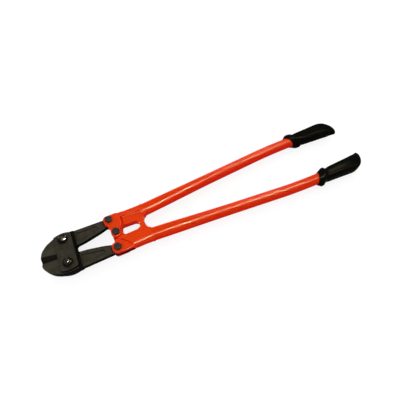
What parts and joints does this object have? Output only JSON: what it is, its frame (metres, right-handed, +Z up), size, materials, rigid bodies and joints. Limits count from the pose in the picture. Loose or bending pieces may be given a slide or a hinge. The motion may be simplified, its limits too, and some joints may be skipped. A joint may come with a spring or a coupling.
{
  "type": "bolt cutters",
  "caption": "Long-handled bolt cutters: two bevelled steel jaws in link plates, driven by red forged forks on tube handles with black moulded grips.",
  "frame": {"origin": "middle of the closed tool in plan, on the surface that it lies on", "axes": "+X from the jaws to the grips, +Y to the upper handle, +Z up along the pivots"},
  "size_m": [0.8856, 0.1906, 0.055],
  "materials": {
    "forged_steel": "black phosphate over forged and ground steel",
    "bright_steel": "dark oiled steel fasteners",
    "black_steel": "black oxide fasteners",
    "red_paint": "glossy orange-red enamel",
    "black_rubber": "smooth moulded black rubber, satin"
  },
  "bodies": {
    "head": {"front_link_plate": "forged_steel", "rear_link_plate": "forged_steel", "upper_jaw_bolt": "bright_steel", "upper_jaw_washer": "bright_steel", "upper_jaw_nut": "bright_steel", "lower_jaw_bolt": "bright_steel", "lower_jaw_washer": "bright_steel", "lower_jaw_nut": "bright_steel"},
    "upper_jaw": {"upper_jaw": "forged_steel"},
    "lower_jaw": {"lower_jaw": "forged_steel"},
    "upper_handle": {"upper_fork": "red_paint", "upper_handle_tube": "red_paint", "upper_grip": "black_rubber", "upper_tail_bolt": "black_steel", "upper_tail_washer": "black_steel", "upper_tail_nut": "black_steel", "centre_bolt": "black_steel", "centre_washer": "black_steel", "centre_nut": "black_steel"},
    "lower_handle": {"lower_fork": "red_paint", "lower_handle_tube": "red_paint", "lower_grip": "black_rubber", "lower_tail_bolt": "black_steel", "lower_tail_washer": "black_steel", "lower_tail_nut": "black_steel"}
  },
  "joints": [
    {"name": "upper_jaw_pivot", "type": "hinge", "parent": "head", "child": "upper_jaw", "pos_m": [-0.38154, 0.0317, 0.02525], "axis": [0, 0, 1], "range_deg": [-7.51, 0]},
    {"name": "lower_jaw_pivot", "type": "hinge", "parent": "head", "child": "lower_jaw", "pos_m": [-0.38154, -0.0317, 0.02525], "axis": [0, 0, 1], "range_deg": [0, 7.51]},
    {"name": "upper_tail_pivot", "type": "hinge", "parent": "upper_jaw", "child": "upper_handle", "pos_m": [-0.26744, 0.0397, 0.02525], "axis": [0, 0, 1], "range_deg": [0, 52.51]},
    {"name": "lower_tail_pivot", "type": "hinge", "parent": "lower_jaw", "child": "lower_handle", "pos_m": [-0.26744, -0.0397, 0.02525], "axis": [0, 0, 1], "range_deg": [-52.51, 0]}
  ],
  "couplings": [
    {"joint": "lower_tail_pivot", "follows": "upper_tail_pivot", "ratio": -1},
    {"joint": "upper_jaw_pivot", "follows": "upper_tail_pivot", "ratio": -0.14305},
    {"joint": "lower_jaw_pivot", "follows": "upper_tail_pivot", "ratio": 0.14305}
  ]
}
